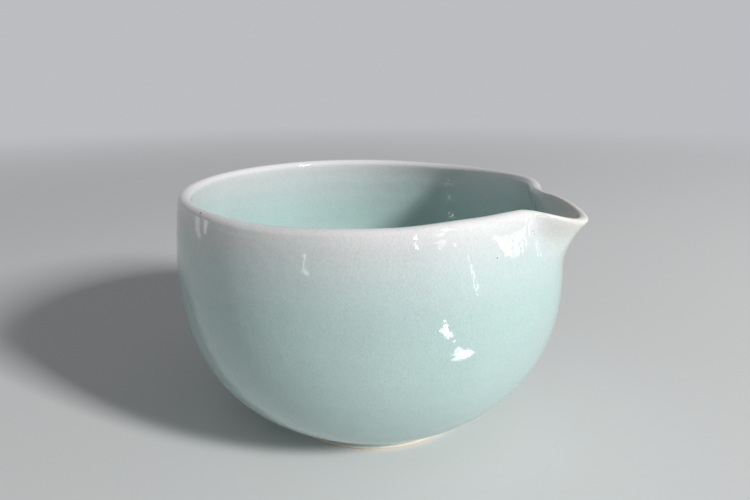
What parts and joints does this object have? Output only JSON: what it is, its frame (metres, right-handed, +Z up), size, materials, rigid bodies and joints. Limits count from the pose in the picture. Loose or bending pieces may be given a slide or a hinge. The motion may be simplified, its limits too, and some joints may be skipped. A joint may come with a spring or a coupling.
{
  "type": "spouted rice bowl",
  "caption": "Deep round stoneware bowl with a pouring spout pulled from its rim, celadon glaze inside and out, and a bare trimmed foot ring.",
  "frame": {"origin": "centre of the foot ring's standing face, on the bowl's own axis", "axes": "+Z up along the bowl's axis, +X towards the tip of the spout"},
  "size_m": [0.1574, 0.1498, 0.0935],
  "materials": {
    "fired_clay": "matt",
    "celadon_glaze": "gloss"
  },
  "bodies": {
    "root": {"clay_body": "fired_clay", "foot_ring": "fired_clay", "outer_glaze": "celadon_glaze", "inner_glaze": "celadon_glaze", "base_glaze": "celadon_glaze"}
  },
  "joints": []
}
